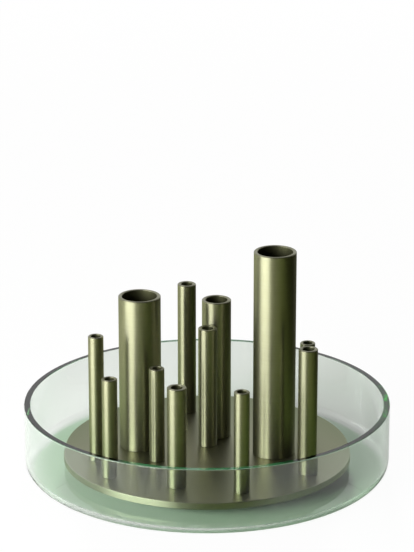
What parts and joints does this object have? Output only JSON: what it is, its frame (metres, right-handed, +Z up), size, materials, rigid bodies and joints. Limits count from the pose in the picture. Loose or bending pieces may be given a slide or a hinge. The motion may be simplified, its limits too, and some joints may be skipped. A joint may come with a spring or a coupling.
{
  "type": "low vase",
  "caption": "Shallow round glass bowl with a lift-out insert of open upright tubes on a round plate, which hold single stems or small bunches upright.",
  "frame": {"origin": "centre of the glass bowl's flat underside", "axes": "+Z up, -Y towards the viewer in the picture, +X to the viewer's right"},
  "size_m": [0.3, 0.3, 0.1885],
  "materials": {
    "glass": "polished, pale green",
    "anodised_aluminium": "satin, olive green",
    "silicone": "matt, translucent white"
  },
  "bodies": {
    "bowl": {"glass_bowl": "glass"},
    "insert": {"base_plate": "anodised_aluminium", "large_tube_tall": "anodised_aluminium", "large_tube_short": "anodised_aluminium", "wide_tube": "anodised_aluminium", "medium_tube_centre": "anodised_aluminium", "medium_tube_back": "anodised_aluminium", "medium_tube_right": "anodised_aluminium", "medium_tube_front_left": "anodised_aluminium", "small_tube_inner_left": "anodised_aluminium", "small_tube_far_left": "anodised_aluminium", "small_tube_left": "anodised_aluminium", "small_tube_front_right": "anodised_aluminium", "small_tube_right_rear": "anodised_aluminium", "foot_right": "silicone", "foot_back": "silicone", "foot_left": "silicone", "foot_front": "silicone"}
  },
  "joints": [
    {"name": "insert_lift", "type": "slide", "parent": "bowl", "child": "insert", "axis": [0, 0, 1], "range_m": [0, 0.1]}
  ]
}
